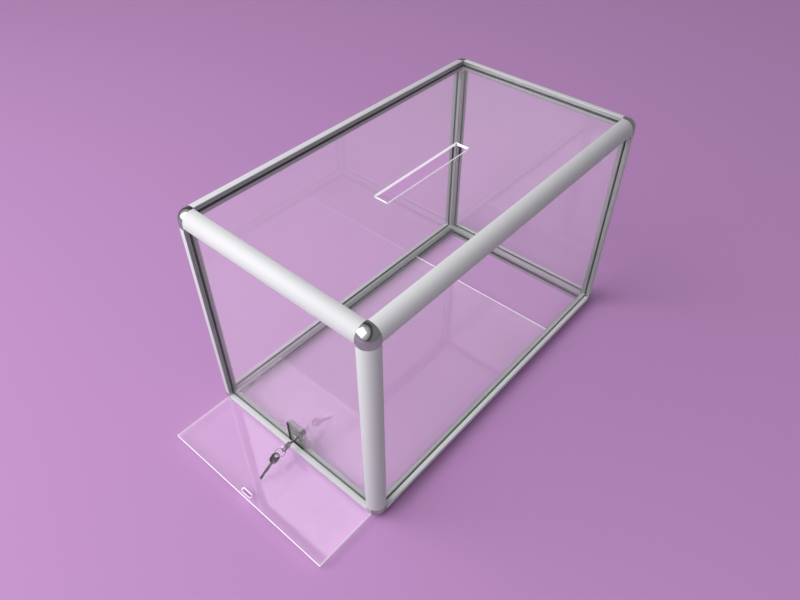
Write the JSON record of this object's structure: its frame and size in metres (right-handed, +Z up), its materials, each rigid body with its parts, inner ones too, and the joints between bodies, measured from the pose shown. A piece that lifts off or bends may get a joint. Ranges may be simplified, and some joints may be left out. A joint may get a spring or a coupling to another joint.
{
  "type": "ballot box",
  "caption": "Clear panelled ballot box in a rounded metal bar frame, with a ballot slot in its top, a floor plate that slides out of one end, and a cam lock with keys.",
  "frame": {"origin": "on the surface that the box stands on, under the middle of the frame", "axes": "+Z up; +Y along the box, from the lock end to the back; +X across, to the right seen from the lock end"},
  "size_m": [0.3, 0.6164, 0.334],
  "materials": {
    "satin_aluminium": "satin anodised extrusion",
    "chrome_plate": "bright chrome plate on a die casting",
    "clear_acrylic": "clear sheet with saw-cut, flame-polished edges",
    "lock_nickel": "nickel plate, slightly dulled",
    "bright_nickel": "bright nickel plate",
    "zinc_steel": "zinc-plated steel",
    "key_nickel": "nickel-plated key blank, polished"
  },
  "bodies": {
    "frame": {"bottom_front_bar": "satin_aluminium", "bottom_back_bar": "satin_aluminium", "bottom_left_bar": "satin_aluminium", "bottom_right_bar": "satin_aluminium", "top_front_bar": "satin_aluminium", "top_back_bar": "satin_aluminium", "top_left_bar": "satin_aluminium", "top_right_bar": "satin_aluminium", "front_left_post": "satin_aluminium", "front_right_post": "satin_aluminium", "back_left_post": "satin_aluminium", "back_right_post": "satin_aluminium", "bottom_front_left_corner": "chrome_plate", "bottom_front_right_corner": "chrome_plate", "bottom_back_left_corner": "chrome_plate", "bottom_back_right_corner": "chrome_plate", "top_front_left_corner": "chrome_plate", "top_front_right_corner": "chrome_plate", "top_back_left_corner": "chrome_plate", "top_back_right_corner": "chrome_plate", "top_panel": "clear_acrylic", "front_panel": "clear_acrylic", "back_panel": "clear_acrylic", "left_panel": "clear_acrylic", "right_panel": "clear_acrylic", "lock_case": "lock_nickel", "lock_cover": "lock_nickel", "lock_screws": "zinc_steel", "cover_screws": "zinc_steel"},
    "floor": {"floor_plate": "clear_acrylic"},
    "key": {"lock_plug": "bright_nickel", "lock_cam": "zinc_steel", "cam_nut": "zinc_steel", "key_in_lock": "key_nickel"},
    "ring": {"key_ring": "bright_nickel"},
    "spare": {"spare_key": "key_nickel"}
  },
  "joints": [
    {"name": "floor_slide", "type": "slide", "parent": "frame", "child": "floor", "axis": [0, -1, 0], "range_m": [-0.1, 0.37]},
    {"name": "key_turn", "type": "hinge", "parent": "frame", "child": "key", "pos_m": [0, -0.25, 0.0315], "axis": [0, 1, 0], "range_deg": [0, 57]},
    {"name": "ring_swing", "type": "hinge", "parent": "key", "child": "ring", "pos_m": [0, -0.27885, 0.03], "axis": [-1, 0, 0], "range_deg": [0, 60]},
    {"name": "spare_key_swing", "type": "hinge", "parent": "ring", "child": "spare", "pos_m": [0, -0.2916, 0.03112], "axis": [-1, 0, 0], "range_deg": [0, 60]}
  ]
}
